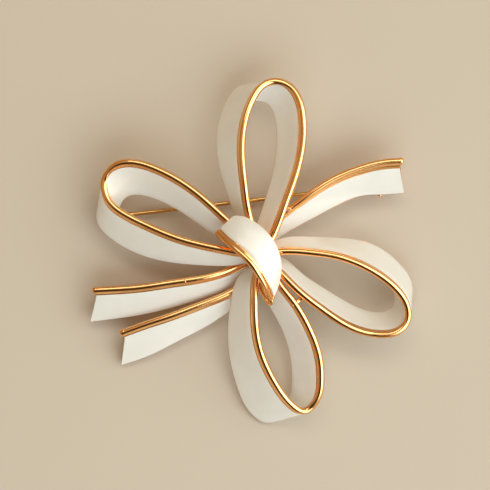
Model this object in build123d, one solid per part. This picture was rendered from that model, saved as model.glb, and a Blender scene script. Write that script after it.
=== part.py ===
from build123d import *
import math
import os

# Bow brooch: four ribbon loops and three ribbon tails under a crossing knot band.
# Frame: +X and +Y lie in the face of the bow, +Y up as it is worn, and +Z comes
# out of the front.  The brooch lies on its back, and z = 0 is what it lies on.
# All lengths are in millimetres.

# ---- driving dimensions ----
BEAD_RADIUS = 0.7            # round wire along the front edge of every ribbon
RIBBON_THICKNESS = 1.1       # at the gold ledge and at the back lip
LEDGE_WIDTH = 1.3            # from the bead's centre to where the enamel starts
LIP_WIDTH = 0.35             # gold left uncovered along the back edge
ENAMEL_DEPTH = 0.25          # how deep the enamel sits in the metal
KNOT_THICKNESS = 1.3
BEAD_SIDES = 5               # facets round the bead

STEM_RADIUS = 0.43           # pin wire
STEM_HEIGHT = 1.75           # height of the wire's axis over the table
STEM_SLOPE = 6.67            # degrees that the wire rises towards +X
STEM_REACH = 57.2            # from hinge axis to point
POINT_LENGTH = 5.0
POINT_RADIUS = 0.08
NECK_RADIUS = 0.62           # swaged neck between the rolled eye and the wire
NECK_LENGTH = 3.0
NECK_TAPER = 1.0
RUNNING_GAP = 0.05           # radial gap of everything that turns

EYE_RADIUS = 1.25            # rolled eye at the wire's hinge end
EYE_WIDTH = 1.4
HINGE_RIVET_RADIUS = 0.5
RIVET_HEAD_RADIUS = 0.85
RIVET_HEAD_THICKNESS = 0.4
EAR_THICKNESS = 0.7
EAR_LENGTH = 3.2
EAR_CORNER = 1.2
EAR_GAP = EYE_WIDTH + 2 * RUNNING_GAP
BRACKET_TOP = 3.9
BRACKET_PLATE = 0.8          # plate soldered across the back of the left loop's tip
PLATE_LENGTH = 4.2
PLATE_WIDTH = 3.5
PLATE_SHIFT = 0.95

ROTOR_RADIUS = 1.2           # turning sleeve of the safety catch
ROTOR_BORE = 0.6
ROTOR_SLOT = 1.05
ROTOR_LENGTH = 4.0
HOUSING_LENGTH = 2.4
HOUSING_MOUTH = 1.15
HOUSING_RADIUS = math.hypot(STEM_HEIGHT, HOUSING_MOUTH / 2)
POST_WIDTH = 2.4             # solder post between the ring and the tail
POST_START = 1.5
POST_END = 3.4
COLLAR_RADIUS = 1.45         # keeps the sleeve in its housing
COLLAR_LENGTH = 0.6
LUG_REACH = 1.95             # from the wire's axis to the thumb ball's centre
LUG_RADIUS = 0.22
LUG_BALL_RADIUS = 0.3

BLOCK_RADIUS = 2.3           # rounded block that carries every ribbon's root
BLOCK_BOTTOM = 2.8
BLOCK_TOP = 10.8
BLOCK_START = (-1.7, 3.6)
BLOCK_END = (3.4, -3.1)
CENTRE_RIVET = (1.0, 0.4)
CENTRE_RIVET_RADIUS = 1.0
CENTRE_HEAD_RADIUS = 1.9
CENTRE_HEAD_THICKNESS = 0.7
CENTRE_HEAD_ROUNDING = 0.3
CENTRE_RIVET_TOP = 13.9      # inside the knot band, which trims it
BRACE_RADIUS = 0.45
LOOP_BRACE = ((10.2, -8.8, 10.1), (8.2, -10.1, 10.0))
TAIL_BRACE = ((6.1, 8.7, 10.7), (7.3, 8.6, 7.7))

HINGE_X = -28.0
CATCH_X = 27.0
STEM_LEVEL = 10.45           # Y of the wire's axis at X = 0
BELOW = -1                   # start of a cutter that comes up through the back

# ---- ribbons ----
# Each station is a point on the bead's centre line, then the middle of the back
# edge opposite it.  A loop runs clockwise, from root round its tip to root.
LOOP_TOP = (
    ((0.3, 3.6, 10.0), (-2.0, 4.2, 6.6)),
    ((-1.0, 8.6, 10.6), (-3.9, 8.8, 6.6)),
    ((-1.7, 13.6, 11.2), (-5.55, 13.6, 6.8)),
    ((-2.2, 19.6, 11.2), (-7.0, 19.4, 6.4)),
    ((-1.75, 25.4, 10.6), (-6.9, 25.0, 5.5)),
    ((0.0, 30.5, 9.8), (-5.3, 30.0, 4.6)),
    ((2.6, 33.6, 9.2), (-2.9, 32.9, 4.1)),
    ((6.0, 33.9, 8.9), (0.4, 32.9, 3.9)),
    ((8.9, 31.2, 9.1), (3.5, 29.9, 4.2)),
    ((10.05, 26.2, 9.9), (4.95, 25.3, 4.9)),
    ((9.7, 20.2, 10.7), (4.85, 19.4, 5.9)),
    ((8.4, 14.9, 11.0), (3.9, 14.5, 6.5)),
    ((6.4, 9.4, 10.8), (2.35, 9.4, 6.6)),
    ((4.1, 3.4, 10.2), (0.7, 4.6, 6.6)),
    ((2.4, 0.2, 10.0), (0.2, 2.8, 6.6)),
)
LOOP_LEFT = (
    ((-0.4, -0.6, 10.0), (-0.2, -1.6, 6.6)),
    ((-3.4, 0.0, 10.2), (-3.8, -2.4, 6.6)),
    ((-8.1, 0.95, 10.4), (-9.2, -2.5, 6.2)),
    ((-14.9, 2.7, 10.4), (-16.4, -1.9, 5.5)),
    ((-21.2, 5.3, 9.9), (-23.5, 0.0, 4.7)),
    ((-25.9, 7.7, 9.4), (-28.6, 3.0, 4.3)),
    ((-29.0, 10.6, 9.1), (-31.0, 5.9, 4.2)),
    ((-29.75, 14.2, 9.1), (-30.7, 8.4, 4.3)),
    ((-27.9, 17.1, 9.5), (-27.9, 10.3, 4.5)),
    ((-24.2, 17.9, 10.1), (-24.3, 11.6, 4.8)),
    ((-19.4, 16.6, 10.7), (-19.8, 10.95, 5.3)),
    ((-14.9, 14.3, 11.0), (-15.6, 9.0, 5.8)),
    ((-10.3, 11.0, 10.9), (-11.2, 6.1, 6.2)),
    ((-5.4, 6.6, 10.4), (-6.5, 3.0, 6.5)),
    ((-1.4, 3.2, 10.0), (-2.2, 1.6, 6.6)),
)
LOOP_RIGHT = (
    ((2.6, -0.4, 10.0), (2.4, 1.0, 6.6)),
    ((6.0, 0.1, 10.4), (5.6, 2.4, 6.5)),
    ((11.3, -0.1, 10.6), (11.3, 2.85, 5.9)),
    ((17.5, -1.1, 10.1), (17.7, 2.6, 4.9)),
    ((23.7, -3.7, 9.2), (24.2, 1.3, 3.9)),
    ((28.6, -7.4, 8.3), (29.4, -2.5, 3.0)),
    ((30.9, -11.1, 7.7), (31.75, -6.4, 2.5)),
    ((30.8, -14.1, 7.4), (31.3, -9.6, 2.3)),
    ((28.4, -16.25, 7.4), (28.2, -11.8, 2.3)),
    ((24.6, -16.5, 7.7), (24.6, -12.3, 2.6)),
    ((19.6, -15.1, 8.5), (20.0, -10.85, 3.4)),
    ((14.0, -11.6, 9.5), (14.4, -7.6, 4.6)),
    ((8.8, -7.5, 10.3), (9.3, -4.1, 5.8)),
    ((5.6, -4.3, 10.3), (6.2, -1.5, 6.4)),
    ((3.2, -2.0, 10.0), (3.2, -0.4, 6.6)),
)
LOOP_BOTTOM = (
    ((3.0, -2.6, 10.0), (1.8, -3.2, 6.6)),
    ((4.9, -5.8, 10.2), (1.6, -6.2, 6.5)),
    ((8.0, -9.8, 10.1), (3.2, -10.2, 6.0)),
    ((11.1, -15.0, 9.2), (5.9, -15.2, 4.7)),
    ((13.2, -20.6, 7.9), (7.7, -21.0, 3.2)),
    ((13.7, -25.6, 6.7), (8.0, -26.6, 1.8)),
    ((12.7, -30.1, 5.7), (6.4, -32.0, 0.5)),
    ((10.2, -31.95, 5.6), (3.0, -34.3, 0.3)),
    ((7.3, -30.2, 6.3), (-0.5, -32.2, 0.9)),
    ((4.3, -26.0, 7.7), (-3.0, -27.2, 2.4)),
    ((1.9, -21.0, 9.0), (-4.45, -21.4, 4.0)),
    ((0.6, -15.2, 10.0), (-4.8, -15.2, 5.4)),
    ((0.4, -9.5, 10.4), (-4.15, -9.5, 6.4)),
    ((0.75, -5.0, 10.3), (-2.5, -4.8, 6.8)),
    ((1.6, -1.6, 10.0), (0.6, -2.6, 6.6)),
)
# Inside its tip each loop is cast thicker, so that the inner side of its back edge
# stands in towards the knot: by how much at most, and at which station.
TIP_FILL = {
    "loop_top": (3.0, 6.3),
    "loop_left": (3.3, 6.8),
    "loop_right": (3.4, 6.3),
    "loop_bottom": (2.5, 7.3),
}
FILL_REACH = 2.2             # stations on each side in which the thickening fades
# A tail runs from its root to its cut end.
TAIL_RIGHT = (
    ((1.4, 3.0, 6.4), (2.4, 0.4, 4.2)),
    ((5.2, 6.8, 7.2), (5.2, 3.1, 4.4)),
    ((10.0, 10.6, 8.0), (10.0, 5.9, 4.6)),
    ((16.0, 14.5, 8.2), (16.1, 9.2, 4.4)),
    ((22.0, 16.9, 8.0), (22.2, 11.5, 4.3)),
    ((26.0, 17.9, 7.8), (26.2, 12.2, 4.2)),
    ((29.9, 18.2, 7.5), (30.0, 12.5, 4.0)),
)
TAIL_UPPER_LEFT = (
    ((-0.6, -1.4, 5.0), (0.2, -3.4, 3.4)),
    ((-3.9, -3.2, 5.6), (-3.2, -6.2, 3.4)),
    ((-9.1, -5.0, 6.6), (-8.9, -8.8, 3.7)),
    ((-15.9, -6.1, 7.0), (-16.0, -11.0, 3.7)),
    ((-22.7, -7.1, 6.8), (-22.8, -12.6, 3.2)),
    ((-28.0, -7.5, 6.4), (-28.2, -13.4, 2.6)),
    ((-31.9, -7.7, 6.0), (-32.3, -13.7, 2.2)),
)
TAIL_LOWER_LEFT = (
    ((1.6, -3.4, 4.8), (2.0, -4.8, 3.2)),
    ((-4.5, -8.1, 5.2), (-4.4, -11.4, 2.7)),
    ((-10.2, -10.5, 5.7), (-10.2, -15.3, 2.4)),
    ((-15.9, -12.65, 5.8), (-16.0, -18.3, 2.1)),
    ((-21.5, -14.5, 5.4), (-21.6, -21.1, 1.5)),
    ((-26.4, -16.3, 5.0), (-26.3, -22.3, 0.9)),
)
KNOT = (
    ((-6.9, 3.9, 12.0), (-3.6, 7.0, 11.8)),
    ((-5.4, 2.35, 13.6), (-1.9, 6.9, 12.4)),
    ((-3.1, 0.4, 15.0), (0.7, 5.6, 13.1)),
    ((-0.9, -1.7, 15.6), (3.2, 3.3, 13.4)),
    ((1.0, -4.2, 15.2), (5.0, 0.0, 13.2)),
    ((2.4, -6.7, 13.9), (5.5, -3.3, 12.7)),
    ((3.5, -9.3, 11.8), (4.9, -6.4, 11.9)),
)


def wire_point(x):
    """Point on the pin wire's axis at this X."""
    return Vector(x, STEM_LEVEL + x * math.tan(math.radians(STEM_SLOPE)), STEM_HEIGHT)


WIRE_DIRECTION = Vector(1, 0, 0).rotate(Axis.Z, STEM_SLOPE)
HINGE_DIRECTION = Vector(0, 1, 0).rotate(Axis.Z, STEM_SLOPE)
HINGE = wire_point(HINGE_X)
CATCH = wire_point(CATCH_X)
HALF = RIBBON_THICKNESS / 2


def station_planes(stations):
    """One plane per station: x across the ribbon from bead to back, z along it."""
    fronts = [Vector(*front) for front, back in stations]
    backs = [Vector(*back) for front, back in stations]
    middles = [(front + back) * 0.5 for front, back in zip(fronts, backs)]
    planes = []
    for i in range(len(stations)):
        across = backs[i] - fronts[i]
        ahead = middles[min(i + 1, len(middles) - 1)] - middles[max(i - 1, 0)]
        unit = across.normalized()
        ahead = ahead - unit * ahead.dot(unit)
        planes.append((Plane(fronts[i], x_dir=across, z_dir=ahead), across.length))
    return planes


def metal_outline(width, half, faces):
    """Corners across the gold: ledge, enamel seats, back lip and the round bead."""
    seat_end = width - LIP_WIDTH
    floor = half - ENAMEL_DEPTH
    neck = math.sqrt(BEAD_RADIUS ** 2 - half ** 2)
    corners = [(neck, half), (LEDGE_WIDTH, half), (LEDGE_WIDTH, floor),
               (seat_end, floor), (seat_end, half), (width, half), (width, -half)]
    if faces == 2:
        corners += [(seat_end, -half), (seat_end, -floor),
                    (LEDGE_WIDTH, -floor), (LEDGE_WIDTH, -half)]
    corners.append((neck, -half))
    first = math.atan2(-half, neck)
    sweep = 2 * (math.pi + first)
    for i in range(1, BEAD_SIDES):
        angle = first - sweep * i / BEAD_SIDES
        corners.append((BEAD_RADIUS * math.cos(angle), BEAD_RADIUS * math.sin(angle)))
    return corners


def enamel_outline(width, half, side):
    """Corners across one enamel panel, on the side of the ribbon that side names."""
    low = side * (half - ENAMEL_DEPTH)
    high = side * half
    last = width - LIP_WIDTH
    return [(LEDGE_WIDTH, low), (last, low), (last, high), (LEDGE_WIDTH, high)]


def skin(rings, across, turn=1):
    """Closed solid of flat facets through a row of rings with equal corner counts.

    across gives each corner's distance from the bead.  Every diagonal runs away from
    the bead, so that faces which lie on each other are cut into the same facets.
    """
    facets = [rings[0], rings[-1]]
    for near, far in zip(rings, rings[1:]):
        for j in range(len(near)):
            a, b = near[j - 1], near[j]
            c, d = far[j], far[j - 1]
            if across[j - 1] < across[j]:
                facets += [[a, b, c], [a, c, d]]
            else:
                facets += [[a, b, d], [b, c, d]]
    solid = Solid(Shell([Face(Wire.make_polygon(facet[::turn])) for facet in facets]))
    if solid.volume < 0:
        return skin(rings, across, -turn)
    return solid


def tip_fill(stations, most, middle):
    """At each station, how the inner side of the back edge stands in."""
    tip = Vector(*stations[round(middle)][0])
    root = (Vector(*stations[0][0]) + Vector(*stations[-1][0])) * 0.5
    inward = Vector(root.X - tip.X, root.Y - tip.Y, 0).normalized()
    shifts = []
    for i in range(len(stations)):
        fade = min(abs(i - middle) / FILL_REACH, 1)
        shifts.append(inward * (most * math.cos(math.pi / 2 * fade) ** 2))
    return shifts


def ribbon(stations, shifts, outline, *options):
    """Solid that carries one outline along a ribbon's stations.

    The inner side, under y = 0, slants in from its ledge to a shifted back edge.
    """
    rings = []
    for (plane, width), shift in zip(station_planes(stations), shifts):
        ring = []
        corners = outline(width, *options)
        for x, y in corners:
            slant = max(x - LEDGE_WIDTH, 0) / (width - LEDGE_WIDTH) if y < 0 else 0
            ring.append(plane.from_local_coords((x, y, 0)) + shift * slant)
        rings.append(ring)
    return skin(rings, [x for x, y in corners])


def largest(shape):
    """The main solid of a cut, without loose crumbs."""
    return max(shape.solids(), key=lambda solid: solid.volume)


def rod(start, end, radius, end_radius=None):
    """Round rod between two points, tapered when end_radius is given."""
    start = Vector(*start)
    end = Vector(*end)
    plane = Plane(start, z_dir=end - start)
    length = (end - start).length
    if end_radius is None:
        return Solid.make_cylinder(radius, length, plane)
    return Solid.make_cone(radius, end_radius, length, plane)


def centred_rod(centre, direction, length, radius):
    half = direction * (length / 2)
    return rod(centre - half, centre + half, radius)


def slab(centre, along, across, length, width, bottom, top):
    """Upright block with its long side turned to the given direction."""
    corner = Vector(centre.X, centre.Y, bottom) - along * (length / 2) - across * (width / 2)
    return Solid.make_box(length, width, top - bottom,
                          Plane(corner, x_dir=along, z_dir=(0, 0, 1)))


def centre_block():
    """Rounded block under the knot, bored for the centre rivet."""
    ends = [rod((x, y, BLOCK_BOTTOM), (x, y, BLOCK_TOP), BLOCK_RADIUS)
            for x, y in (BLOCK_START, BLOCK_END)]
    start = Vector(*BLOCK_START)
    end = Vector(*BLOCK_END)
    along = (end - start).normalized()
    across = Vector(-along.Y, along.X, 0)
    middle = slab((start + end) * 0.5, along, across, (end - start).length,
                  2 * BLOCK_RADIUS, BLOCK_BOTTOM, BLOCK_TOP)
    return middle.fuse(*ends).clean()


def centre_rivet(knot):
    """Rivet from the back, through the block, up to the underside of the knot."""
    x, y = CENTRE_RIVET
    shank = rod((x, y, BLOCK_BOTTOM), (x, y, CENTRE_RIVET_TOP), CENTRE_RIVET_RADIUS)
    head = rod((x, y, BLOCK_BOTTOM - CENTRE_HEAD_THICKNESS), (x, y, BLOCK_BOTTOM),
               CENTRE_HEAD_RADIUS)
    head = head.fillet(CENTRE_HEAD_ROUNDING, head.faces().sort_by(Axis.Z)[0].edges())
    return largest(shank.cut(knot)).fuse(head).clean()


def brace(start, end, *neighbours):
    """Short soldered strut, trimmed to the two ribbons that it joins."""
    return largest(rod(start, end, BRACE_RADIUS).cut(*neighbours))


def pin_stem():
    eye = centred_rod(HINGE, HINGE_DIRECTION, EYE_WIDTH, EYE_RADIUS)
    shoulder = HINGE + WIRE_DIRECTION * (STEM_REACH - POINT_LENGTH)
    tip = HINGE + WIRE_DIRECTION * STEM_REACH
    neck_end = HINGE + WIRE_DIRECTION * NECK_LENGTH
    wire_start = neck_end + WIRE_DIRECTION * NECK_TAPER
    neck = rod(HINGE, neck_end, NECK_RADIUS)
    taper = rod(neck_end, wire_start, NECK_RADIUS, STEM_RADIUS)
    wire = rod(wire_start, shoulder, STEM_RADIUS)
    point = rod(shoulder, tip, STEM_RADIUS, POINT_RADIUS)
    bore = centred_rod(HINGE, HINGE_DIRECTION, 2 * EYE_WIDTH,
                       HINGE_RIVET_RADIUS + RUNNING_GAP)
    return eye.fuse(neck, taper, wire, point).clean().cut(bore)


def hinge_bracket():
    """Plate soldered behind the left loop, with two ears for the pin's eye."""
    ear_offset = (EAR_GAP + EAR_THICKNESS) / 2
    ears = [slab(HINGE + HINGE_DIRECTION * (side * ear_offset), WIRE_DIRECTION,
                 HINGE_DIRECTION, EAR_LENGTH, EAR_THICKNESS, 0, BRACKET_TOP)
            for side in (-1, 1)]
    across = Axis(HINGE, HINGE_DIRECTION)
    ears = [ear.fillet(EAR_CORNER, ear.edges().filter_by(across).sort_by(Axis.Z)[:2])
            for ear in ears]
    plate = slab(HINGE - WIRE_DIRECTION * PLATE_SHIFT, WIRE_DIRECTION, HINGE_DIRECTION,
                 PLATE_LENGTH, PLATE_WIDTH, BRACKET_TOP - BRACKET_PLATE, BRACKET_TOP)
    bore = centred_rod(HINGE, HINGE_DIRECTION, 3 * EYE_WIDTH, HINGE_RIVET_RADIUS)
    return plate.fuse(*ears).clean().cut(bore)


def hinge_rivet():
    span = EAR_GAP + 2 * EAR_THICKNESS
    shank = centred_rod(HINGE, HINGE_DIRECTION, span, HINGE_RIVET_RADIUS)
    heads = []
    for side in (-1, 1):
        centre = HINGE + HINGE_DIRECTION * (side * (span + RIVET_HEAD_THICKNESS) / 2)
        heads.append(centred_rod(centre, HINGE_DIRECTION, RIVET_HEAD_THICKNESS,
                                 RIVET_HEAD_RADIUS))
    return shank.fuse(*heads).clean()


def catch_housing(tail):
    """Open-bottomed ring with a post up to the back of the right tail."""
    ring = centred_rod(CATCH, WIRE_DIRECTION, HOUSING_LENGTH, HOUSING_RADIUS)
    post = slab(CATCH, WIRE_DIRECTION, HINGE_DIRECTION, HOUSING_LENGTH, POST_WIDTH,
                STEM_HEIGHT + POST_START, STEM_HEIGHT + POST_END)
    bore = centred_rod(CATCH, WIRE_DIRECTION, 2 * HOUSING_LENGTH,
                       ROTOR_RADIUS + RUNNING_GAP)
    mouth = slab(CATCH, WIRE_DIRECTION, HINGE_DIRECTION, 2 * HOUSING_LENGTH,
                 HOUSING_MOUTH, BELOW, STEM_HEIGHT)
    return largest(ring.fuse(post).clean().cut(bore, mouth).cut(tail))


def catch_rotor():
    """Slotted sleeve with a collar at each end, a lug and its thumb ball."""
    sleeve = centred_rod(CATCH, WIRE_DIRECTION, ROTOR_LENGTH, ROTOR_RADIUS)
    collar_offset = HOUSING_LENGTH / 2 + RUNNING_GAP + COLLAR_LENGTH / 2
    collars = [centred_rod(CATCH + WIRE_DIRECTION * (side * collar_offset),
                           WIRE_DIRECTION, COLLAR_LENGTH, COLLAR_RADIUS)
               for side in (-1, 1)]
    root = CATCH - WIRE_DIRECTION * collar_offset
    ball = root - HINGE_DIRECTION * LUG_REACH
    lug = rod(root - HINGE_DIRECTION * ROTOR_RADIUS, ball, LUG_RADIUS)
    bore = centred_rod(CATCH, WIRE_DIRECTION, 2 * ROTOR_LENGTH, ROTOR_BORE)
    slot = slab(CATCH, WIRE_DIRECTION, HINGE_DIRECTION, 2 * ROTOR_LENGTH, ROTOR_SLOT,
                BELOW, STEM_HEIGHT)
    thumb = Solid.make_sphere(LUG_BALL_RADIUS, Plane(ball))
    return sleeve.fuse(*collars, lug, thumb).clean().cut(bore, slot)


os.makedirs("parts", exist_ok=True)
nodes = {}
block = centre_block()

for name, stations in (("loop_top", LOOP_TOP), ("loop_left", LOOP_LEFT),
                       ("loop_right", LOOP_RIGHT), ("loop_bottom", LOOP_BOTTOM)):
    shifts = tip_fill(stations, *TIP_FILL[name])
    nodes[name] = largest(ribbon(stations, shifts, metal_outline, HALF, 2).cut(block))
    for face, side in (("outer", 1), ("inner", -1)):
        panel = ribbon(stations, shifts, enamel_outline, HALF, side)
        nodes[name + "_enamel_" + face] = largest(panel.cut(block))

# The tails and the knot have one thickness all along.
EVEN = [Vector(0, 0, 0)] * max(len(KNOT), len(TAIL_RIGHT))

for name, stations, side in (("tail_right", TAIL_RIGHT, -1),
                             ("tail_upper_left", TAIL_UPPER_LEFT, 1),
                             ("tail_lower_left", TAIL_LOWER_LEFT, 1)):
    nodes[name] = largest(ribbon(stations, EVEN, metal_outline, HALF, 2).cut(block))
    nodes[name + "_enamel"] = largest(
        ribbon(stations, EVEN, enamel_outline, HALF, side).cut(block))

nodes["knot_band"] = ribbon(KNOT, EVEN, metal_outline, KNOT_THICKNESS / 2, 1)
nodes["knot_enamel"] = ribbon(KNOT, EVEN, enamel_outline, KNOT_THICKNESS / 2, 1)

x, y = CENTRE_RIVET
nodes["centre_block"] = block.cut(
    rod((x, y, BELOW), (x, y, 2 * BLOCK_TOP), CENTRE_RIVET_RADIUS))
nodes["centre_rivet"] = centre_rivet(nodes["knot_band"])
nodes["loop_brace"] = brace(*LOOP_BRACE, nodes["loop_right"], nodes["loop_bottom"])
nodes["tail_brace"] = brace(*TAIL_BRACE, nodes["loop_top"], nodes["tail_right"])
nodes["hinge_bracket"] = hinge_bracket()
nodes["hinge_rivet"] = hinge_rivet()
nodes["pin_stem"] = pin_stem()
nodes["catch_housing"] = catch_housing(nodes["tail_right"])
nodes["catch_rotor"] = catch_rotor()

for name, shape in nodes.items():
    export_step(shape, "parts/" + name + ".step")
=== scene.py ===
import math

import bmesh
import bpy
import numpy as np
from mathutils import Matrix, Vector


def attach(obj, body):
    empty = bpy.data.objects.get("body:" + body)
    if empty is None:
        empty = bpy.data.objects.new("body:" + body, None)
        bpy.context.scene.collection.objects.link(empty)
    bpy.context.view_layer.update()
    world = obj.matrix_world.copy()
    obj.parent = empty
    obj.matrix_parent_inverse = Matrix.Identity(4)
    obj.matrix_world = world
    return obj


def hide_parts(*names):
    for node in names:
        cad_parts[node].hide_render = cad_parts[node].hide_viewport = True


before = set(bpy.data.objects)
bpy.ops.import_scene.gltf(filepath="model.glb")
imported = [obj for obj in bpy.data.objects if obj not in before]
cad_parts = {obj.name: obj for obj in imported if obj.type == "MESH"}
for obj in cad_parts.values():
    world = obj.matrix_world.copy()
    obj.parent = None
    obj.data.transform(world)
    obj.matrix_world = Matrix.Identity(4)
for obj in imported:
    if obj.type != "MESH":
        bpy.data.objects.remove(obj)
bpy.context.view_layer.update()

MM = 0.001

# ---- ribbon shape, in millimetres ----
BEAD = 0.7                   # radius of the round bead on the front edge
SEAT_START = 1.0             # from the bead's centre to the enamel, over the ledge
LIP = 0.10                   # gold left along the back edge
GOLD_FACE = 0.43             # half thickness at the ledge
SEAT_FACE = 0.25             # half thickness under the enamel
LIP_FACE = 0.36              # half thickness at the back edge
ENAMEL_EDGE = 0.40           # height of a panel's edges over the ribbon's middle
ENAMEL_CROWN = 0.14          # how much higher the panel is between its edges
ENAMEL_GAP = 0.01            # left between a panel and the metal round it
BEAD_REACH = 1.01 * BEAD     # outline points up to here follow the bead's size
LEDGE_REACH = 0.9            # outline points past here move with a wider ledge

# ---- fineness of the meshes ----
STEP = 0.55                  # length of one mesh row along a ribbon, in millimetres
FEWEST_ROWS = 8
BEAD_STEPS = 22
PANEL_STEPS = 16
BALL_STEPS = 12
TURNS = 28                   # sides of a round piece
LEAST_RADIUS = 0.001         # of a round piece where it comes to a point
END_ROW = 0.06               # length of the extra row at each end of a ribbon,
END_SIZE = 0.88              # at which its thickness falls to this share
SHARP_ANGLE = math.radians(38)

# ---- lines of the ribbons ----
# Each station is a point on the bead's centre line, then the middle of the back
# edge opposite it.  A loop runs clockwise, from root round its tip to root.
LOOPS = {
    "loop_top": (
        ((0.3, 3.6, 10.0), (-2.0, 4.2, 6.6)),
        ((-1.0, 8.6, 10.6), (-3.9, 8.8, 6.6)),
        ((-1.7, 13.6, 11.2), (-5.55, 13.6, 6.8)),
        ((-2.2, 19.6, 11.2), (-7.0, 19.4, 6.4)),
        ((-1.75, 25.4, 10.6), (-6.9, 25.0, 5.5)),
        ((0.0, 30.5, 9.8), (-5.3, 30.0, 4.6)),
        ((2.6, 33.6, 9.2), (-2.9, 32.9, 4.1)),
        ((6.0, 33.9, 8.9), (0.4, 32.9, 3.9)),
        ((8.9, 31.2, 9.1), (3.5, 29.9, 4.2)),
        ((10.05, 26.2, 9.9), (4.95, 25.3, 4.9)),
        ((9.7, 20.2, 10.7), (4.85, 19.4, 5.9)),
        ((8.4, 14.9, 11.0), (3.9, 14.5, 6.5)),
        ((6.4, 9.4, 10.8), (2.35, 9.4, 6.6)),
        ((4.1, 3.4, 10.2), (0.7, 4.6, 6.6)),
        ((2.4, 0.2, 10.0), (0.2, 2.8, 6.6)),
    ),
    "loop_left": (
        ((-0.4, -0.6, 10.0), (-0.2, -1.6, 6.6)),
        ((-3.4, 0.0, 10.2), (-3.8, -2.4, 6.6)),
        ((-8.1, 0.95, 10.4), (-9.2, -2.5, 6.2)),
        ((-14.9, 2.7, 10.4), (-16.4, -1.9, 5.5)),
        ((-21.2, 5.3, 9.9), (-23.5, 0.0, 4.7)),
        ((-25.9, 7.7, 9.4), (-28.6, 3.0, 4.3)),
        ((-29.0, 10.6, 9.1), (-31.0, 5.9, 4.2)),
        ((-29.75, 14.2, 9.1), (-30.7, 8.4, 4.3)),
        ((-27.9, 17.1, 9.5), (-27.9, 10.3, 4.5)),
        ((-24.2, 17.9, 10.1), (-24.3, 11.6, 4.8)),
        ((-19.4, 16.6, 10.7), (-19.8, 10.95, 5.3)),
        ((-14.9, 14.3, 11.0), (-15.6, 9.0, 5.8)),
        ((-10.3, 11.0, 10.9), (-11.2, 6.1, 6.2)),
        ((-5.4, 6.6, 10.4), (-6.5, 3.0, 6.5)),
        ((-1.4, 3.2, 10.0), (-2.2, 1.6, 6.6)),
    ),
    "loop_right": (
        ((2.6, -0.4, 10.0), (2.4, 1.0, 6.6)),
        ((6.0, 0.1, 10.4), (5.6, 2.4, 6.5)),
        ((11.3, -0.1, 10.6), (11.3, 2.85, 5.9)),
        ((17.5, -1.1, 10.1), (17.7, 2.6, 4.9)),
        ((23.7, -3.7, 9.2), (24.2, 1.3, 3.9)),
        ((28.6, -7.4, 8.3), (29.4, -2.5, 3.0)),
        ((30.9, -11.1, 7.7), (31.75, -6.4, 2.5)),
        ((30.8, -14.1, 7.4), (31.3, -9.6, 2.3)),
        ((28.4, -16.25, 7.4), (28.2, -11.8, 2.3)),
        ((24.6, -16.5, 7.7), (24.6, -12.3, 2.6)),
        ((19.6, -15.1, 8.5), (20.0, -10.85, 3.4)),
        ((14.0, -11.6, 9.5), (14.4, -7.6, 4.6)),
        ((8.8, -7.5, 10.3), (9.3, -4.1, 5.8)),
        ((5.6, -4.3, 10.3), (6.2, -1.5, 6.4)),
        ((3.2, -2.0, 10.0), (3.2, -0.4, 6.6)),
    ),
    "loop_bottom": (
        ((3.0, -2.6, 10.0), (1.8, -3.2, 6.6)),
        ((4.9, -5.8, 10.2), (1.6, -6.2, 6.5)),
        ((8.0, -9.8, 10.1), (3.2, -10.2, 6.0)),
        ((11.1, -15.0, 9.2), (5.9, -15.2, 4.7)),
        ((13.2, -20.6, 7.9), (7.7, -21.0, 3.2)),
        ((13.7, -25.6, 6.7), (8.0, -26.6, 1.8)),
        ((12.7, -30.1, 5.7), (6.4, -32.0, 0.5)),
        ((10.2, -31.95, 5.6), (3.0, -34.3, 0.3)),
        ((7.3, -30.2, 6.3), (-0.5, -32.2, 0.9)),
        ((4.3, -26.0, 7.7), (-3.0, -27.2, 2.4)),
        ((1.9, -21.0, 9.0), (-4.45, -21.4, 4.0)),
        ((0.6, -15.2, 10.0), (-4.8, -15.2, 5.4)),
        ((0.4, -9.5, 10.4), (-4.15, -9.5, 6.4)),
        ((0.75, -5.0, 10.3), (-2.5, -4.8, 6.8)),
        ((1.6, -1.6, 10.0), (0.6, -2.6, 6.6)),
    ),
}
# Inside its tip each loop is thicker, so that the inner side of its back edge
# stands in towards the knot: by how much at most, and at which station.
TIP_FILL = {
    "loop_top": (3.0, 6.3),
    "loop_left": (3.3, 6.8),
    "loop_right": (3.4, 6.3),
    "loop_bottom": (2.5, 7.3),
}
FILL_REACH = 2.2             # stations on each side in which the thickening fades
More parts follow.
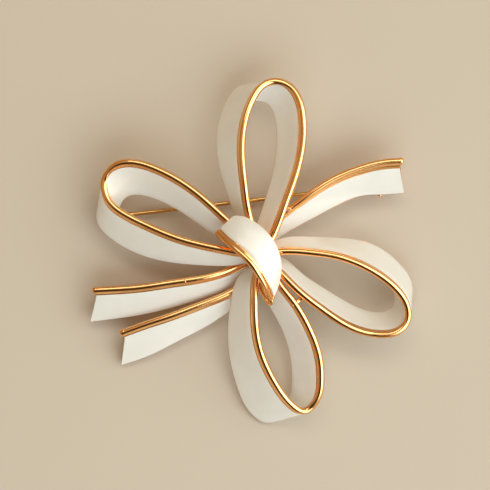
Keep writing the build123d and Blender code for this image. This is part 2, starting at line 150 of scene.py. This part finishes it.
# A tail runs from its root to its cut end.  The number is the side that is enamelled.
TAILS = {
    "tail_right": (-1, (
        ((1.4, 3.0, 6.4), (2.4, 0.4, 4.2)),
        ((5.2, 6.8, 7.2), (5.2, 3.1, 4.4)),
        ((10.0, 10.6, 8.0), (10.0, 5.9, 4.6)),
        ((16.0, 14.5, 8.2), (16.1, 9.2, 4.4)),
        ((22.0, 16.9, 8.0), (22.2, 11.5, 4.3)),
        ((26.0, 17.9, 7.8), (26.2, 11.65, 4.2)),
        ((29.9, 18.2, 7.5), (30.0, 11.95, 4.0)),
    )),
    "tail_upper_left": (1, (
        ((-0.6, -1.4, 5.0), (0.2, -3.4, 3.4)),
        ((-3.9, -3.2, 5.6), (-3.2, -6.2, 3.4)),
        ((-9.1, -5.0, 6.6), (-8.9, -8.8, 3.7)),
        ((-15.9, -6.1, 7.0), (-16.0, -11.0, 3.7)),
        ((-22.7, -7.1, 6.8), (-22.8, -12.6, 3.2)),
        ((-28.0, -7.5, 6.4), (-28.2, -13.4, 2.6)),
        ((-31.9, -7.7, 6.0), (-32.35, -13.95, 2.1)),
    )),
    "tail_lower_left": (1, (
        ((1.6, -3.4, 4.8), (2.0, -4.8, 3.2)),
        ((-4.5, -8.1, 5.2), (-4.4, -11.4, 2.7)),
        ((-10.2, -10.5, 5.7), (-10.2, -15.3, 2.4)),
        ((-15.9, -12.65, 5.8), (-16.0, -18.3, 2.1)),
        ((-21.5, -14.5, 5.4), (-21.6, -21.1, 1.5)),
        ((-26.4, -16.3, 5.0), (-26.2, -22.65, 0.8)),
    )),
}
# The knot's band runs from its upper left end to its lower end.
KNOT = (
    ((-6.9, 3.9, 12.0), (-3.6, 7.0, 11.8)),
    ((-5.4, 2.35, 13.6), (-1.9, 6.9, 12.4)),
    ((-3.1, 0.4, 15.0), (0.7, 5.6, 13.1)),
    ((-0.9, -1.7, 15.6), (3.2, 3.3, 13.4)),
    ((1.0, -4.2, 15.2), (5.0, 0.0, 13.2)),
    ((2.4, -6.7, 13.9), (5.5, -3.3, 12.7)),
    ((3.5, -9.3, 11.8), (4.9, -6.4, 11.9)),
)
# Under the lower end of the knot its gold turns back towards the middle.
KNOT_RETURN = (
    ((3.55, -9.4, 11.7), (4.9, -6.9, 11.3)),
    ((3.55, -10.35, 11.0), (4.8, -7.3, 10.9)),
    ((2.75, -9.6, 10.5), (4.4, -6.9, 10.7)),
    ((1.75, -7.9, 10.35), (3.6, -5.8, 10.5)),
    ((0.85, -5.7, 10.3), (2.6, -4.3, 10.5)),
)

# ---- how the knot differs from the other ribbons ----
# The bead's size is a share of BEAD, and the ledge is wider than SEAT_START by the
# values given.  Both are at evenly spaced places, from the ribbon's first station.
KNOT_BEAD = (1.0, 0.92, 0.72)
KNOT_LEDGE = (-0.25, 0.05, 0.0, -0.35)
KNOT_METAL = {"face": 0.5, "seat": 0.32, "lip": 0.4}
KNOT_PANEL = {"seat": 0.32, "edge": 0.47, "crown": 0.16}
KNOT_COVER = 0.03            # how far its panel stands past the metal's ends and lip
RETURN_BEAD = (0.7, 0.45, 0.45)
RETURN_METAL = {"face": 0.3, "seat": 0.28, "lip": 0.3}

# ---- ends of the tails and beads ----
# How much wider than SEAT_START a tail's ledge is, at its root and at its end.
TAIL_LEDGE = {
    "tail_right": (0.0, 0.45),
    "tail_upper_left": (0.0, 0.0),
    "tail_lower_left": (0.0, 0.0),
}
# How far a tail's end stands back: distance from the bead's centre, then how far.
CUT_BACK = ((0.0, 0.15), (0.7, 0.3), (1.1, 0.7), (1.5, 0.7), (6.9, -0.25))
CUT_FADE = 5.0               # length over which the rows turn into line with the cut
PANEL_PAST_METAL = 0.12      # how far a tail's enamel stands out of its cut end
# Rounded end of a bead: share of its length, then radius.
BEAD_END = ((0.0, 0.69), (0.35, 0.72), (0.65, 0.70), (0.85, 0.55), (0.96, 0.33),
            (1.0, 0.0))
BEAD_END_PAST = 0.35         # how far it stands past the ribbon's end
TAIL_END_BACK = 0.75         # and how far back it begins, on a tail
KNOT_END_BACK = 0.6          # and on the knot

# ---- joins and the catch ----
# A strut has two ends.  A profile is (share of the way, radius), end to end.
STRUT = ((10.5, -8.7, 9.7), (8.0, -10.5, 9.7))
STRUT_PROFILE = ((0.0, 0.95), (0.12, 0.78), (0.3, 0.55), (0.5, 0.48), (0.7, 0.56),
                 (0.88, 0.78), (1.0, 0.95))
BRIDGE = ((6.1, 8.8, 10.4), (7.5, 8.5, 7.8))
BRIDGE_PROFILE = ((0.0, 0.3), (0.2, 0.52), (0.5, 0.55), (0.8, 0.52), (1.0, 0.3))
SEAM_X = -13.6               # where the seam is on the upper left tail's bead
SEAM_HALF = 0.12             # half its width
SEAM_PROFILE = ((0.0, 0.70), (0.3, 0.755), (0.7, 0.755), (1.0, 0.70))
THUMB_BALL = Vector((25.69, 11.45, 1.75))       # its middle, on the catch's lug
THUMB_BALL_RADIUS = 0.38

# ---- the room, its light and the camera ----
# Colours of the room.  A cosine is that of the angle to the direction named.
TOWARDS_WINDOW = (0.8, -0.2, 0.56)
FAR_SIDE = (0.36, 0.23, 0.10)
NEAR_SIDE = (0.62, 0.54, 0.42)
FAR_COSINE, NEAR_COSINE = -0.6, 0.9      # the far side changes into the near side
TOWARDS_PATCH = (-0.15, -0.58, 0.80)
DARK = (0.10, 0.085, 0.07)
EDGE_COSINE, PATCH_COSINE = 0.76, 0.90   # the patch darkens from its edge inwards
DAYLIGHT = (0.80, 0.92, 1.0)
WARM_LIGHT = (1.0, 0.95, 0.87)
SHEEN_LIGHT = (1.0, 0.97, 0.93)
FLOOR_COLOUR = (0.62, 0.53, 0.42, 1)
FLOOR_HALF = 1.5             # half the floor's side, in metres
MIDDLE_HEIGHT = 0.008        # of the brooch, in metres
CAMERA_PLACE = (-1.56 * MM, 1.4 * MM, 0.6)
VIEW_WIDTH = 98 * MM         # seen at the brooch's middle height

# Noise seldom leaves these values, so what it varies is spread between them.
NOISE_LOW, NOISE_HIGH = 0.3, 0.7


# ---- materials ----
def new_material(name):
    """New material, with its nodes, its links and its shader."""
    material = bpy.data.materials.new(name)
    material.use_nodes = True
    nodes = material.node_tree.nodes
    return material, nodes, material.node_tree.links, nodes["Principled BSDF"]


def noise(nodes, links, scale, detail=3.0):
    """Noise that is fixed to the object's own space."""
    place = nodes.new("ShaderNodeTexCoord")
    texture = nodes.new("ShaderNodeTexNoise")
    texture.inputs["Scale"].default_value = scale
    texture.inputs["Detail"].default_value = detail
    links.new(place.outputs["Object"], texture.inputs["Vector"])
    return texture.outputs["Fac"]


def spread(nodes, links, source, low, high):
    """Noise values stretched to run from low to high."""
    stretch = nodes.new("ShaderNodeMapRange")
    stretch.inputs["From Min"].default_value = NOISE_LOW
    stretch.inputs["From Max"].default_value = NOISE_HIGH
    stretch.inputs["To Min"].default_value = low
    stretch.inputs["To Max"].default_value = high
    links.new(source, stretch.inputs["Value"])
    return stretch.outputs["Result"]


def bump(nodes, links, source, shader, strength, distance):
    """Faint unevenness; the distance is in metres."""
    node = nodes.new("ShaderNodeBump")
    node.inputs["Strength"].default_value = strength
    node.inputs["Distance"].default_value = distance
    links.new(source, node.inputs["Height"])
    links.new(node.outputs["Normal"], shader.inputs["Normal"])


def tint(nodes, links, source, shader, low, high):
    """Base colour that varies between two colours."""
    ramp = nodes.new("ShaderNodeValToRGB")
    ramp.color_ramp.elements[0].position = NOISE_LOW
    ramp.color_ramp.elements[0].color = (*low, 1)
    ramp.color_ramp.elements[1].position = NOISE_HIGH
    ramp.color_ramp.elements[1].color = (*high, 1)
    links.new(source, ramp.inputs["Fac"])
    links.new(ramp.outputs["Color"], shader.inputs["Base Color"])


def gold_material(name, low, high, smooth, rough):
    """Polished metal between two colours and two values of roughness."""
    material, nodes, links, shader = new_material(name)
    shader.inputs["Metallic"].default_value = 1.0
    tint(nodes, links, noise(nodes, links, scale=260), shader, low, high)
    wear = noise(nodes, links, scale=900, detail=5.0)
    links.new(spread(nodes, links, wear, smooth, rough), shader.inputs["Roughness"])
    waves = noise(nodes, links, scale=300, detail=1.0)
    bump(nodes, links, waves, shader, strength=0.05, distance=0.0001)
    return material


def enamel_material(name, low, high):
    """Glossy cream glass between two colours."""
    material, nodes, links, shader = new_material(name)
    tint(nodes, links, noise(nodes, links, scale=180), shader, low, high)
    shader.inputs["Roughness"].default_value = 0.2
    shader.inputs["IOR"].default_value = 1.52
    shader.inputs["Coat Weight"].default_value = 0.5
    shader.inputs["Coat Roughness"].default_value = 0.06
    waves = noise(nodes, links, scale=220, detail=2.0)
    bump(nodes, links, waves, shader, strength=0.25, distance=0.0002)
    return material


GOLD = gold_material("gold_plate", low=(0.93, 0.50, 0.20), high=(0.98, 0.58, 0.26),
                     smooth=0.08, rough=0.16)
WIRE = gold_material("pin_wire", low=(0.62, 0.36, 0.12), high=(0.74, 0.46, 0.17),
                     smooth=0.16, rough=0.28)
ENAMEL = enamel_material("cream_enamel", low=(0.85, 0.825, 0.745),
                         high=(0.895, 0.875, 0.80))


# ---- curves ----
def natural_spline(knots, values):
    """Smooth curve through values at knots, as a function of t.

    With a derivative of 1 that function gives the curve's slope instead.
    """
    gaps = np.diff(knots)
    slopes = np.diff(values, axis=0) / gaps[:, None]
    count = len(knots)
    matrix = np.eye(count)
    right = np.zeros_like(values)
    for i in range(1, count - 1):
        matrix[i, i - 1:i + 2] = gaps[i - 1], 2 * (gaps[i - 1] + gaps[i]), gaps[i]
        right[i] = 6 * (slopes[i] - slopes[i - 1])
    bend = np.linalg.solve(matrix, right)

    def at(t, derivative=0):
        t = np.asarray(t, float)
        i = np.clip(np.searchsorted(knots, t, side="right") - 1, 0, count - 2)
        h = gaps[i][..., None]
        u = (t - knots[i])[..., None]
        first = slopes[i] - h * (2 * bend[i] + bend[i + 1]) / 6
        third = (bend[i + 1] - bend[i]) / (6 * h)
        if derivative:
            return first + u * bend[i] + 3 * u ** 2 * third
        return values[i] + u * (first + u * (bend[i] / 2 + u * third))
    return at


class Ribbon:
    """A ruled strip between the bead's line and the back edge's line.

    Places along it are lengths from its root.  fill is an entry of TIP_FILL, and
    ledge and bead are values at evenly spaced places.
    """

    def __init__(self, stations, fill=(0.0, 0.0), ledge=(0.0, 0.0), bead=(1.0, 1.0)):
        fronts = np.array([front for front, back in stations], float)
        backs = np.array([back for front, back in stations], float)
        middles = (fronts + backs) / 2
        steps = np.linalg.norm(np.diff(middles, axis=0), axis=1)
        knots = np.concatenate([[0.0], np.cumsum(steps)])
        self.length = knots[-1]
        self.front = natural_spline(knots, fronts)
        self.back = natural_spline(knots, backs)
        self.knots = knots
        self.ledge = ledge
        self.bead = bead
        self.most, self.middle = fill
        inward = (fronts[0] + fronts[-1]) / 2 - fronts[round(self.middle)]
        inward[2] = 0
        self.inward = inward / np.linalg.norm(inward)

    def fill(self, t):
        """How the inner side of the back edge stands in at t."""
        station = np.interp(t, self.knots, range(len(self.knots)))
        fade = np.minimum(np.abs(station - self.middle) / FILL_REACH, 1)
        reach = self.most * np.cos(math.pi / 2 * fade) ** 2
        return reach[..., None] * self.inward

    def along(self, t, values):
        """Value at t of something given at evenly spaced places."""
        return np.interp(t, np.linspace(0, self.length, len(values)), values)[..., None]

    def point(self, t, from_front, share, out):
        """Point at t along, from_front + share * width across, and out of the middle.

        share is 0 for what keeps its distance from the bead, and 1 for what keeps
        it from the back edge.
        """
        front = self.front(t)
        across = self.back(t) - front
        width = np.linalg.norm(across, axis=-1, keepdims=True)
        unit = across / width
        ahead = self.front(t, 1) + self.back(t, 1)
        normal = np.cross(ahead, unit)
        normal /= np.linalg.norm(normal, axis=-1, keepdims=True)
        from_front, share, out = from_front[..., None], share[..., None], out[..., None]
        size = self.along(t, self.bead)
        # size scales the bead, ledge moves the seat, and the fill the inner side only
        out = np.where(np.hypot(from_front, out) < BEAD_REACH, out * size, out)
        reach = from_front * np.where(share < 1, size, 1) + share * width
        reach = reach + self.along(t, self.ledge) * (1 - share) * (reach > LEDGE_REACH)
        slant = np.clip((reach - SEAT_START) / (width - SEAT_START), 0, 1)
        shift = self.fill(t) * slant * (out < 0)
        return front + unit * reach + normal * out + shift


# ---- outlines across a ribbon: (distance, share of the width, out of the middle) ----
def gold_outline(both_sides, face=GOLD_FACE, seat=SEAT_FACE, lip=LIP_FACE):
    """Bead, ledge, enamel seat and rounded back lip, once round."""
    side = [(0.60, 0, face + 0.02), (0.72, 0, face - 0.01), (0.85, 0, face - 0.01),
            (SEAT_START - 0.07, 0, face), (SEAT_START - 0.02, 0, face - 0.03),
            (SEAT_START, 0, seat),
            (-LIP, 1, seat), (-LIP + 0.02, 1, lip - 0.04), (-LIP + 0.08, 1, lip),
            (-0.12, 1, lip), (-0.04, 1, lip - 0.06), (0, 1, lip - 0.16)]
    plain = [(0.60, 0, -face - 0.02), (0.72, 0, -face), (-0.12, 1, -face),
             (-0.04, 1, -face + 0.05), (0, 1, -face + 0.14)]
    mirrored = [(a, b, -c) for a, b, c in side] if both_sides else plain
    neck = math.asin(min(1.0, (face + 0.04) / BEAD))     # where the ledge meets it
    bead = []
    for i in range(BEAD_STEPS + 1):
        angle = neck + (2 * math.pi - 2 * neck) * i / BEAD_STEPS
        bead.append((BEAD * math.cos(angle), 0, BEAD * math.sin(angle)))
    return side[::-1] + bead + mirrored


def enamel_outline(side, seat=SEAT_FACE, edge=ENAMEL_EDGE, crown=ENAMEL_CROWN):
    """A softly crowned panel with rounded edges, closed underneath."""
    bottom = side * (seat + ENAMEL_GAP)
    points = [(SEAT_START + ENAMEL_GAP, 0, bottom)]
    for i in range(PANEL_STEPS + 1):
        share = 0.5 - 0.5 * math.cos(math.pi * i / PANEL_STEPS)
        height = edge + crown * (1 - (2 * share - 1) ** 6) ** 0.8
        distance = SEAT_START * (1 - share) + ENAMEL_GAP - (LIP + 2 * ENAMEL_GAP) * share
        points.append((distance, share, side * height))
    points.append((-LIP - ENAMEL_GAP, 1, bottom))
    return points


def end_cut(distance):
    """How far a tail's end stands back, at this distance from the bead's centre."""
    distances, steps = zip(*CUT_BACK)
    return np.interp(distance, distances, steps)


def ball_profile(radius):
    """Profile of a ball: (share of its diameter, radius there)."""
    angles = [math.pi * i / BALL_STEPS for i in range(BALL_STEPS + 1)]
    return [(0.5 - 0.5 * math.cos(angle), radius * math.sin(angle)) for angle in angles]


# ---- meshes ----
def tube_faces(rows, columns):
    """Faces of a closed tube of rows of points, with a cap at each end."""
    faces = []
    for i in range(rows - 1):
        for j in range(columns):
            k = (j + 1) % columns
            faces.append((i * columns + j, i * columns + k,
                          (i + 1) * columns + k, (i + 1) * columns + j))
    last = (rows - 1) * columns
    faces.append(tuple(range(columns))[::-1])
    faces.append(tuple(range(last, last + columns)))
    return faces


def sweep(name, ribbon, outline, start=0.0, stop=0.0, cut=False):
    """Closed mesh that carries an outline along a ribbon, with softened ends."""
    distance, share, out = np.array(outline).T
    rows = max(FEWEST_ROWS, int(ribbon.length / STEP))
    along = np.linspace(start, ribbon.length - stop, rows + 1)
    along = np.concatenate([[along[0]], [along[0] + END_ROW], along[1:-1],
                            [along[-1] - END_ROW], [along[-1]]])
    shrink = np.ones(len(along))
    shrink[0] = shrink[-1] = END_SIZE
    t = np.repeat(along[:, None], len(distance), axis=1)
    if cut:
        front, back = ribbon.front(along), ribbon.back(along)
        width = np.linalg.norm(back - front, axis=-1)[:, None]
        reach = np.abs(distance[None] + share[None] * width)
        near_end = np.clip((t - (ribbon.length - CUT_FADE)) / CUT_FADE, 0, 1)
        t = t - end_cut(reach) * near_end ** 2 * (3 - 2 * near_end)
    place = ribbon.point(t, np.broadcast_to(distance, t.shape),
                         np.broadcast_to(share, t.shape), out[None] * shrink[:, None])
    faces = tube_faces(len(along), len(distance))
    return make_piece(name, place.reshape(-1, 3) * MM, faces)


def lathe(name, start, end, profile):
    """Round piece between two points; the profile is (share of the way, radius)."""
    start, end = Vector(start), Vector(end)
    axis = (end - start).normalized()
    side = axis.orthogonal().normalized()
    other = axis.cross(side)
    points = []
    for share, radius in profile:
        middle = start.lerp(end, share)
        radius = max(radius, LEAST_RADIUS)
        for i in range(TURNS):
            angle = 2 * math.pi * i / TURNS
            spoke = side * math.cos(angle) + other * math.sin(angle)
            points.append((middle + spoke * radius) * MM)
    return make_piece(name, points, tube_faces(len(profile), TURNS))


def make_piece(name, points, faces):
    """New object from points in metres, smooth but for its sharp edges."""
    mesh = bpy.data.meshes.new(name)
    mesh.from_pydata([tuple(p) for p in points], [], faces)
    mesh.validate()
    piece = bpy.data.objects.new(name, mesh)
    bpy.context.scene.collection.objects.link(piece)
    face_outwards(mesh)
    mesh.shade_smooth()
    mesh.set_sharp_from_angle(angle=SHARP_ANGLE)
    return piece


def face_outwards(mesh):
    """Turn every face of a closed mesh to look outwards."""
    body = bmesh.new()
    body.from_mesh(mesh)
    bmesh.ops.recalc_face_normals(body, faces=body.faces)
    body.to_mesh(mesh)
    body.free()


def finish_piece(piece, material, slot, body, *nodes):
    """Give a piece its material and body, and hide the CAD nodes it stands for; slot is
    not used.
    """
    piece.data.materials.clear()
    piece.data.materials.append(material)
    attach(piece, body)
    if nodes:
        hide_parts(*nodes)


# ---- ribbons ----
def make_loops():
    """Each loop has an enamel panel on both sides."""
    for name, stations in LOOPS.items():
        ribbon = Ribbon(stations, TIP_FILL[name])
        finish_piece(sweep(name + "_metal", ribbon, gold_outline(both_sides=True)),
                     GOLD, "gold_plate", "brooch", name)
        for face, side in (("outer", 1), ("inner", -1)):
            panel = sweep(f"{name}_panel_{face}", ribbon, enamel_outline(side))
            finish_piece(panel, ENAMEL, "cream_enamel", "brooch",
                         f"{name}_enamel_{face}")


def make_bead_end(name, tip, ahead, back):
    """Rounded end of a bead, from a little before its tip to just past it."""
    ahead = ahead / np.linalg.norm(ahead)
    knob = lathe(name, tip - ahead * back, tip + ahead * BEAD_END_PAST, BEAD_END)
    finish_piece(knob, GOLD, "gold_plate", "brooch")


def make_tails():
    """Each tail has enamel on one side, a slanted end and a rounded bead end."""
    for name, (side, stations) in TAILS.items():
        ribbon = Ribbon(stations, ledge=TAIL_LEDGE[name])
        outline = gold_outline(both_sides=False)
        if side < 0:
            outline = [(distance, share, -out) for distance, share, out in outline]
        finish_piece(sweep(name + "_metal", ribbon, outline, cut=True),
                     GOLD, "gold_plate", "brooch", name)
        panel = sweep(name + "_panel", ribbon, enamel_outline(side),
                      stop=-PANEL_PAST_METAL, cut=True)
        finish_piece(panel, ENAMEL, "cream_enamel", "brooch", name + "_enamel")
        tip = ribbon.front(ribbon.length)
        make_bead_end(name + "_bead_end", tip, tip - ribbon.front(ribbon.length - 1),
                      TAIL_END_BACK)


def make_knot():
    """The band over the middle, and its gold that turns back below."""
    ribbon = Ribbon(KNOT, ledge=KNOT_LEDGE, bead=KNOT_BEAD)
    metal = gold_outline(both_sides=False, **KNOT_METAL)
    finish_piece(sweep("knot_metal", ribbon, metal),
                 GOLD, "gold_plate", "brooch", "knot_band")
    panel = [(distance + (LIP + KNOT_COVER) * share, share, out)
             for distance, share, out in enamel_outline(1, **KNOT_PANEL)]
    finish_piece(sweep("knot_panel", ribbon, panel, start=-KNOT_COVER, stop=-KNOT_COVER),
                 ENAMEL, "cream_enamel", "brooch", "knot_enamel")
    under = Ribbon(KNOT_RETURN, bead=RETURN_BEAD)
    turned = gold_outline(both_sides=False, **RETURN_METAL)
    finish_piece(sweep("knot_return", under, turned), GOLD, "gold_plate", "brooch")
    tip = ribbon.front(0.0)
    make_bead_end("knot_bead_end", tip, tip - ribbon.front(0.5), KNOT_END_BACK)


def make_joins():
    """Struts soldered between two loops, and between a loop and a tail."""
    finish_piece(lathe("loop_strut", *STRUT, STRUT_PROFILE),
                 GOLD, "gold_plate", "brooch", "loop_brace")
    finish_piece(lathe("tail_bridge", *BRIDGE, BRIDGE_PROFILE),
                 GOLD, "gold_plate", "brooch", "tail_brace")


def make_thumb_ball():
    """Ball on the catch's lug, by which the catch is turned."""
    half = Vector((0, THUMB_BALL_RADIUS, 0))
    ball = lathe("thumb_ball", THUMB_BALL - half, THUMB_BALL + half,
                 ball_profile(THUMB_BALL_RADIUS))
    finish_piece(ball, GOLD, "gold_plate", "catch_lever")


def make_seam():
    """Solder seam round the bead of the upper left tail."""
    ribbon = Ribbon(TAILS["tail_upper_left"][1])
    station_x = ribbon.front(ribbon.knots)[:, 0]
    along = np.interp(SEAM_X, station_x[::-1], ribbon.knots[::-1])
    seam = lathe("tail_seam", ribbon.front(along - SEAM_HALF),
                 ribbon.front(along + SEAM_HALF), SEAM_PROFILE)
    finish_piece(seam, GOLD, "gold_plate", "brooch")


# ---- pieces that keep their shape from the frame ----
def dress_fittings():
    """Materials for the fittings on the back and for the pin."""
    replaced = set(LOOPS) | set(TAILS) | {"knot_band", "loop_brace", "tail_brace"}
    for node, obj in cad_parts.items():
        if node in replaced or "enamel" in node:
            continue
        material = WIRE if node in ("pin_stem", "hinge_rivet") else GOLD
        for material_slot in obj.material_slots:
            material_slot.material = material


# ---- floor, lights and camera ----
def make_stage():
    """A plain, pale floor."""
    mesh = bpy.data.meshes.new("floor")
    half = FLOOR_HALF
    mesh.from_pydata([(-half, -half, 0), (half, -half, 0), (half, half, 0),
                      (-half, half, 0)], [], [(0, 1, 2, 3)])
    floor = bpy.data.objects.new("floor", mesh)
    bpy.context.scene.collection.objects.link(floor)
    material, _, _, shader = new_material("pale_floor")
    shader.inputs["Base Color"].default_value = FLOOR_COLOUR
    shader.inputs["Roughness"].default_value = 0.8
    mesh.materials.append(material)


def room_ramp(nodes, links, towards, low, low_colour, high, high_colour):
    """Colour of the room in each direction.

    It goes from low_colour to high_colour as the cosine of the angle to towards
    goes from low to high.
    """
    direction = nodes.new("ShaderNodeTexCoord")
    dot = nodes.new("ShaderNodeVectorMath")
    dot.operation = "DOT_PRODUCT"
    dot.inputs[1].default_value = towards
    stretch = nodes.new("ShaderNodeMapRange")
    stretch.inputs["From Min"].default_value = low
    stretch.inputs["From Max"].default_value = high
    ramp = nodes.new("ShaderNodeValToRGB")
    ramp.color_ramp.interpolation = "EASE"
    ramp.color_ramp.elements[0].color = (*low_colour, 1)
    ramp.color_ramp.elements[1].color = (*high_colour, 1)
    links.new(direction.outputs["Generated"], dot.inputs[0])
    links.new(dot.outputs["Value"], stretch.inputs["Value"])
    links.new(stretch.outputs["Result"], ramp.inputs["Fac"])
    return ramp.outputs["Color"]


def make_world():
    """A warm room, lighter towards the window, with one dark patch overhead."""
    world = bpy.data.worlds.new("room")
    world.use_nodes = True
    nodes, links = world.node_tree.nodes, world.node_tree.links
    room = room_ramp(nodes, links, TOWARDS_WINDOW, FAR_COSINE, FAR_SIDE,
                     NEAR_COSINE, NEAR_SIDE)
    patch = room_ramp(nodes, links, TOWARDS_PATCH, EDGE_COSINE, (1, 1, 1),
                      PATCH_COSINE, DARK)
    product = nodes.new("ShaderNodeVectorMath")
    product.operation = "MULTIPLY"
    links.new(room, product.inputs[0])
    links.new(patch, product.inputs[1])
    links.new(product.outputs["Vector"], nodes["Background"].inputs["Color"])
    nodes["Background"].inputs["Strength"].default_value = 1.0
    bpy.context.scene.world = world


def area_light(name, place, size, power, colour):
    """Rectangular lamp that looks at the brooch's middle."""
    light = bpy.data.lights.new(name, "AREA")
    light.shape = "RECTANGLE"
    light.size, light.size_y = size
    light.energy = power
    light.color = colour
    lamp = bpy.data.objects.new(name, light)
    lamp.location = place
    aim = Vector((0, 0, MIDDLE_HEIGHT)) - Vector(place)
    lamp.rotation_euler = aim.to_track_quat("-Z", "Y").to_euler()
    bpy.context.scene.collection.objects.link(lamp)
    return lamp


def make_light():
    """Two windows, a fill that isn't reflected, and a sheen that is only reflected."""
    area_light("window", place=(0.70, -0.08, 0.55), size=(1.4, 0.62), power=4.2,
               colour=DAYLIGHT)
    area_light("far_window", place=(0.05, 0.42, 0.68), size=(0.7, 0.25), power=1.4,
               colour=WARM_LIGHT)
    fill = area_light("fill", place=(0.15, -0.52, 0.62), size=(0.8, 0.6), power=3.4,
                      colour=DAYLIGHT)
    fill.visible_glossy = False
    sheen = area_light("sheen", place=(0.61, -0.06, 0.57), size=(1.1, 0.85), power=7.0,
                       colour=SHEEN_LIGHT)
    sheen.visible_diffuse = False


def make_camera():
    """Camera straight above, a little to the side of the brooch's middle."""
    camera = bpy.data.cameras.new("camera")
    camera.sensor_width = 36
    camera.lens = camera.sensor_width * (CAMERA_PLACE[2] - MIDDLE_HEIGHT) / VIEW_WIDTH
    eye = bpy.data.objects.new("camera", camera)
    eye.location = CAMERA_PLACE
    bpy.context.scene.collection.objects.link(eye)
    bpy.context.scene.camera = eye


def plain(box):
    """A box as plain lists of numbers."""
    return [[float(value) for value in corner] for corner in box]


make_loops()
make_tails()
make_knot()
make_joins()
make_thumb_ball()
make_seam()
dress_fittings()
make_stage()
make_light()
make_world()
make_camera()
bpy.context.scene.view_settings.view_transform = "Standard"
